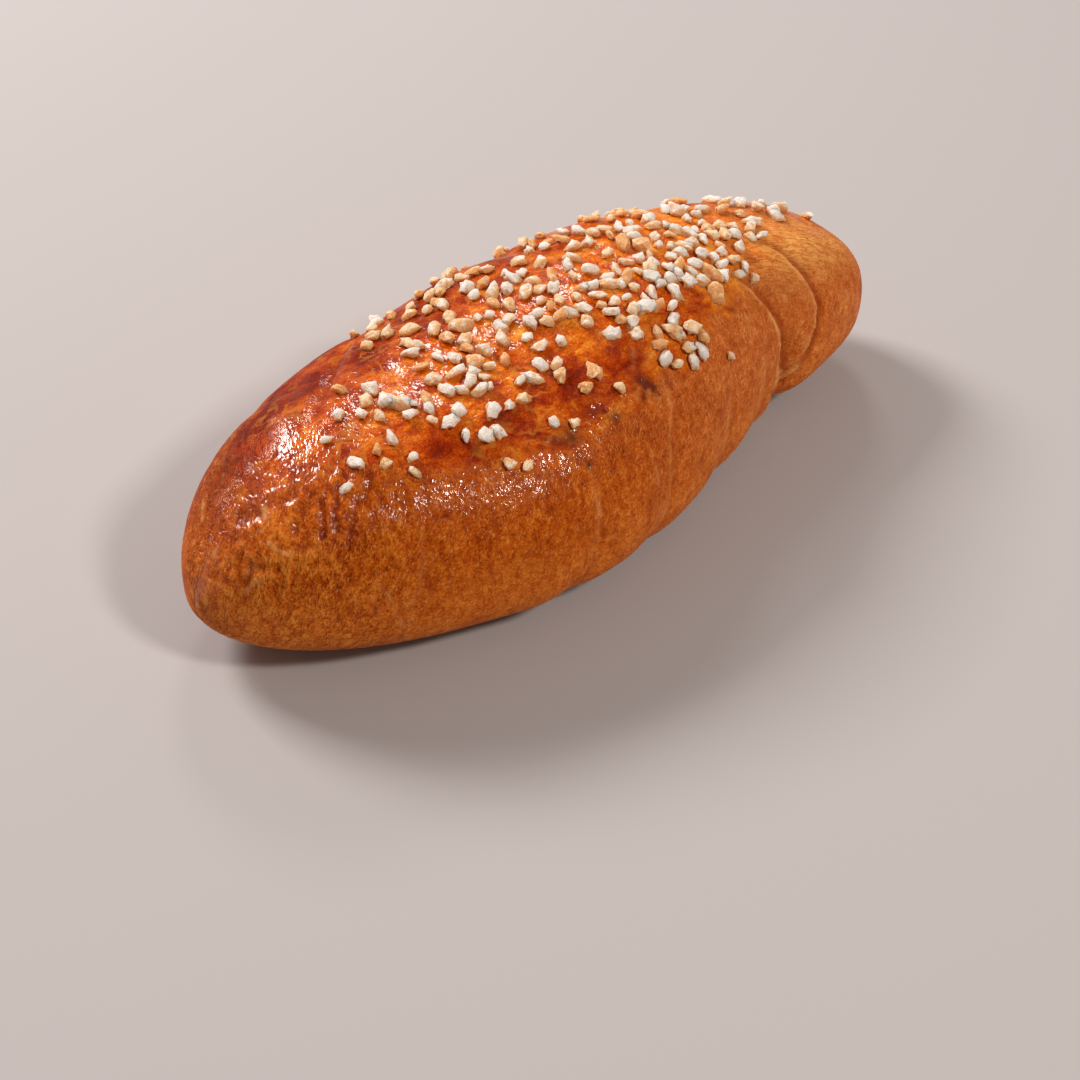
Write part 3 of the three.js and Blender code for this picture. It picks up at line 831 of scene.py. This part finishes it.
def sugar_material(name, body, toasted, toast_share):
    """Packed sugar grains: bright tops, glaze-stained feet with painted warm bounce light, and toasted
    patches.
    """
    material, tree, shader = new_material(name)
    place = add(tree, "ShaderNodeTexCoord").outputs["Object"]
    foot = add(tree, "ShaderNodeAttribute", attribute_name="foot").outputs["Fac"]
    tone = add(tree, "ShaderNodeAttribute", attribute_name="tone").outputs["Fac"]
    patch = grain(tree, place, 1.8, 3, 0.6)
    crystals = grain(tree, place, 0.5, 2, 0.6)
    toast = weighted(tree, [(foot, 0.4), (tone, 0.3)], patch)
    toast = clamp_range(tree, toast, 0.95 - toast_share, 1.15 - toast_share)
    colour = blend(tree, toast, body, toasted)
    # Glaze stain at the foot, also painted warm bounce light on the shaded lower sides
    colour = blend(tree, product(tree, foot, 0.6), colour, GLAZE_STAIN_AND_GLOW)
    colour = blend(tree, 0.8, colour, ramp(tree, crystals, CRYSTAL_SHADES), "MULTIPLY")
    bump = add(tree, "ShaderNodeBump", {"Strength": 0.9, "Distance": 0.5 * MM, "Height": crystals})
    tree.links.new(colour, shader.inputs["Base Color"])
    tree.links.new(bump.outputs[0], shader.inputs["Normal"])
    tree.links.new(clamp_range(tree, crystals, 0.3, 0.7, 0.35, 0.6), shader.inputs["Roughness"])
    shader.inputs["Subsurface Weight"].default_value = 0.8
    shader.inputs["Subsurface Radius"].default_value = (1.0, 0.85, 0.7)
    shader.inputs["Subsurface Scale"].default_value = 4 * MM
    return material


nib_group = sugar_tree()


def read_vectors(mesh, name):
    """One vector attribute of a mesh's points, as rows of three numbers."""
    values = np.zeros(len(mesh.vertices) * 3, np.float32)
    mesh.attributes[name].data.foreach_get("vector", values)
    return values.reshape(-1, 3)


def make_nibs(name, chosen, material, seed, nodes):
    """One mesh of all the nibs of one colour."""
    points = [seat + direction * NIB_RAISED * NIB_LENGTH * MM for seat, direction, _ in chosen]
    mesh = bpy.data.meshes.new(name + "_seats")
    mesh.from_pydata(points, [], [])
    facing = np.array([direction for _, direction, _ in chosen], np.float32)
    mesh.attributes.new("facing", "FLOAT_VECTOR", "POINT").data.foreach_set("vector", facing.ravel())
    holder = bpy.data.objects.new(name + "_seats", mesh)
    bpy.context.scene.collection.objects.link(holder)
    modifier = holder.modifiers.new("nibs", "NODES")
    modifier.node_group = nib_group
    values = {"Nib Length": NIB_LENGTH * MM, "Length Spread": NIB_LENGTH_SPREAD, "Boxiness": BOXINESS,
              "Unevenness": UNEVENNESS, "Seed": seed, "Sugar": material}
    for item in nib_group.interface.items_tree:
        if item.in_out == "INPUT" and item.name in values:
            modifier[item.identifier] = values[item.name]
    bpy.context.view_layer.update()
    made = holder.evaluated_get(bpy.context.evaluated_depsgraph_get())
    nib_mesh = bpy.data.meshes.new_from_object(made)
    nib_mesh.name = name
    bpy.data.objects.remove(holder)
    off_seat = read_vectors(nib_mesh, "position") - read_vectors(nib_mesh, "seat")
    above = (off_seat * read_vectors(nib_mesh, "facing")).sum(axis=1) / (NIB_LENGTH * MM)
    # The stained foot, which also carries painted warm bounce light
    foot = 1 - fade(above, STAIN_AND_GLOW_FROM, STAIN_AND_GLOW_TO)
    tone = read_vectors(nib_mesh, "lump_shift")[:, 0] / SHIFT_RANGE
    for label, numbers in (("foot", foot), ("tone", tone)):
        numbers = numbers.astype(np.float32)
        nib_mesh.attributes.new(label, "FLOAT", "POINT").data.foreach_set("value", numbers)
    for spare in ("seat", "facing", "lump_place", "lump_shift"):
        nib_mesh.attributes.remove(nib_mesh.attributes[spare])
    piece = bpy.data.objects.new(name, nib_mesh)
    bpy.context.scene.collection.objects.link(piece)
    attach(piece, "root")
    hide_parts(*nodes)


white = sugar_material("white_sugar_grains", *WHITE_SUGAR)
tan = sugar_material("toasted_sugar_grains", *TOASTED_SUGAR)
for name, material, toasted, slot, seed in (("white_pearl_sugar", white, False, "white_sugar", 11),
                                            ("toasted_pearl_sugar", tan, True, "toasted_sugar", 12)):
    chosen = [seat for seat in seats if seat[2] == toasted]
    nodes = [node for node in nib_nodes if slot_of[node] == slot]
    make_nibs(name, chosen, material, seed, nodes)

# ------------------------------------------------------------------------------------------------
# The floor, the lights and the camera
# A plain pale floor, a soft window-like light from behind the left, a smaller one from straight behind, a
# fill from the front right and a dim warm surround.
# ------------------------------------------------------------------------------------------------

FLOOR_SIZE = 6.0
FLOOR_COLOUR = (0.425, 0.4, 0.41)
# Name, direction from the loaf, distance and size in metres, power in watts, colour
LIGHTS = [
    ("key", (-0.16, 0.76, 0.64), 1.6, 0.5, 26, (1.0, 0.95, 0.9)),
    ("key_side", (0.45, 0.62, 0.64), 1.6, 0.3, 5, (1.0, 0.95, 0.9)),
    ("front_fill", (0.15, -0.65, 0.75), 1.8, 0.26, 17, (1.0, 0.92, 0.83)),
]
SURROUND_COLOUR = (1.0, 0.88, 0.76)
SURROUND_STRENGTH = 0.26
# The camera's place in metres, its turn, tilt and roll in degrees, and its lens and picture width in mm
CAMERA_PLACE = (-0.3388, -0.3862, 0.4463)
CAMERA_TURN = 41.08
CAMERA_TILT = 42.3
CAMERA_ROLL = 1.45
CAMERA_LENS = 80
SENSOR_WIDTH = 36

floor_mesh = bpy.data.meshes.new("floor")
half = FLOOR_SIZE / 2
floor_corners = [(-half, -half, 0), (half, -half, 0), (half, half, 0), (-half, half, 0)]
floor_mesh.from_pydata(floor_corners, [], [(0, 1, 2, 3)])
floor = bpy.data.objects.new("floor", floor_mesh)
bpy.context.scene.collection.objects.link(floor)
floor_material, tree, shader = new_material("pale_floor")
shader.inputs["Base Color"].default_value = (*FLOOR_COLOUR, 1)
shader.inputs["Roughness"].default_value = 0.9
floor_mesh.materials.append(floor_material)


def area_light(name, direction, distance, size, power, colour):
    """A square soft light that points at the middle of the loaf's sole."""
    data = bpy.data.lights.new(name, "AREA")
    data.size = size
    data.energy = power
    data.color = colour
    lamp = bpy.data.objects.new(name, data)
    bpy.context.scene.collection.objects.link(lamp)
    way = Vector(direction).normalized()
    lamp.location = way * distance
    lamp.rotation_euler = way.to_track_quat("Z", "Y").to_euler()


for light in LIGHTS:
    area_light(*light)
world = bpy.data.worlds.new("studio")
world.use_nodes = True
surround = world.node_tree.nodes["Background"]
surround.inputs[0].default_value = (*SURROUND_COLOUR, 1)
surround.inputs[1].default_value = SURROUND_STRENGTH
bpy.context.scene.world = world
bpy.context.scene.view_settings.view_transform = "Standard"

camera_data = bpy.data.cameras.new("camera")
camera_data.lens = CAMERA_LENS
camera_data.sensor_width = SENSOR_WIDTH
camera_data.clip_start = 0.01
camera = bpy.data.objects.new("camera", camera_data)
bpy.context.scene.collection.objects.link(camera)
turn = Matrix.Rotation(math.radians(-CAMERA_TURN), 4, "Z")
tilt = Matrix.Rotation(math.radians(90 - CAMERA_TILT), 4, "X")
roll = Matrix.Rotation(math.radians(CAMERA_ROLL), 4, "Z")
camera.matrix_world = Matrix.Translation(CAMERA_PLACE) @ turn @ tilt @ roll
bpy.context.scene.camera = camera
